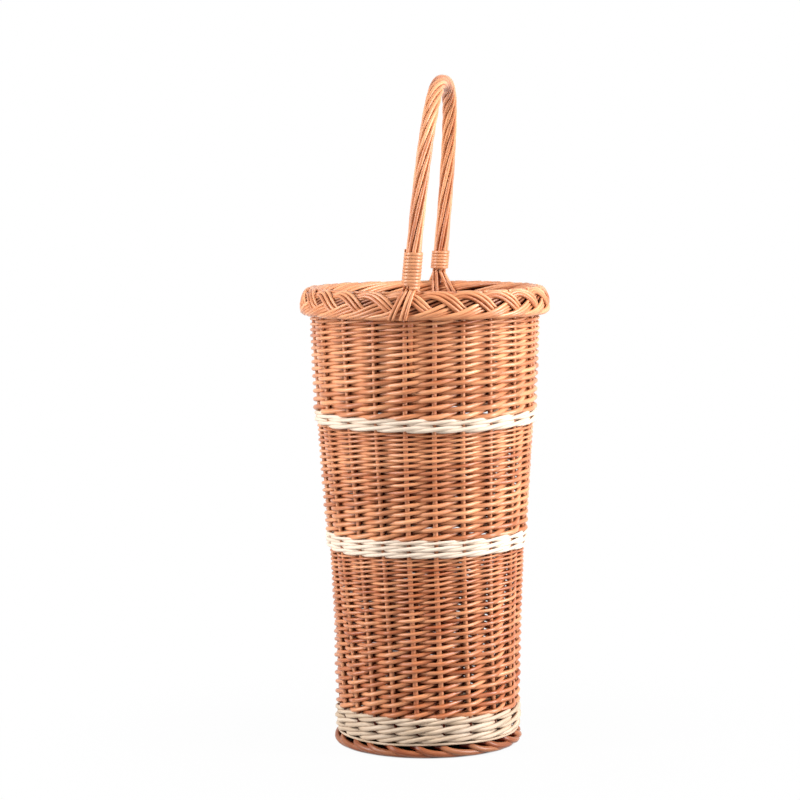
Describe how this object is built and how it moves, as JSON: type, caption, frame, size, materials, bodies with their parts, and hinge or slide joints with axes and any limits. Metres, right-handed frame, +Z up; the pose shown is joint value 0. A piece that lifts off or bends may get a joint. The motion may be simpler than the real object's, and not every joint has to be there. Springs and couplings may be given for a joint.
{
  "type": "umbrella stand",
  "caption": "Tall round wicker umbrella stand, woven of willow round upright stakes, with pale waled bands, a plaited rim, a foot border and a roped hoop handle.",
  "frame": {"origin": "on the floor, on the upright axis of the basket", "axes": "+Z up along the basket's axis; the hoop handle stands over the YZ plane with its front foot towards -Y, and leans slightly to +X"},
  "size_m": [0.2666, 0.2756, 0.7155],
  "materials": {
    "buff_willow": "buff willow rods, boiled and stripped, warm orange tan with a satin skin",
    "white_willow": "white willow rods, stripped, pale cream with a dull skin",
    "willow_skein": "split and shaved buff willow skein, smooth and satin"
  },
  "bodies": {
    "root": {"stake_01": "buff_willow", "stake_02": "buff_willow", "stake_03": "buff_willow", "stake_04": "buff_willow", "stake_05": "buff_willow", "stake_06": "buff_willow", "stake_07": "buff_willow", "stake_08": "buff_willow", "stake_09": "buff_willow", "stake_10": "buff_willow", "stake_11": "buff_willow", "stake_12": "buff_willow", "stake_13": "buff_willow", "stake_14": "buff_willow", "stake_15": "buff_willow", "stake_16": "buff_willow", "stake_17": "buff_willow", "stake_18": "buff_willow", "stake_19": "buff_willow", "stake_20": "buff_willow", "split_base_stick_1": "buff_willow", "split_base_stick_2": "buff_willow", "split_base_stick_3": "buff_willow", "split_base_stick_4": "buff_willow", "split_base_stick_5": "buff_willow", "through_base_stick_1": "buff_willow", "through_base_stick_2": "buff_willow", "through_base_stick_3": "buff_willow", "through_base_stick_4": "buff_willow", "through_base_stick_5": "buff_willow", "base_weave": "buff_willow", "foot_border": "buff_willow", "lower_wale": "white_willow", "lower_panel": "buff_willow", "middle_wale": "white_willow", "middle_panel": "buff_willow", "upper_wale": "white_willow", "upper_panel": "buff_willow", "plaited_border": "buff_willow", "handle_bow": "buff_willow", "handle_rod_1": "buff_willow", "handle_rod_2": "buff_willow", "handle_rod_3": "buff_willow", "handle_rod_4": "buff_willow", "handle_rod_5": "buff_willow", "handle_rod_6": "buff_willow", "handle_rod_7": "buff_willow", "handle_rod_8": "buff_willow", "front_binding": "willow_skein", "back_binding": "willow_skein"}
  },
  "joints": []
}
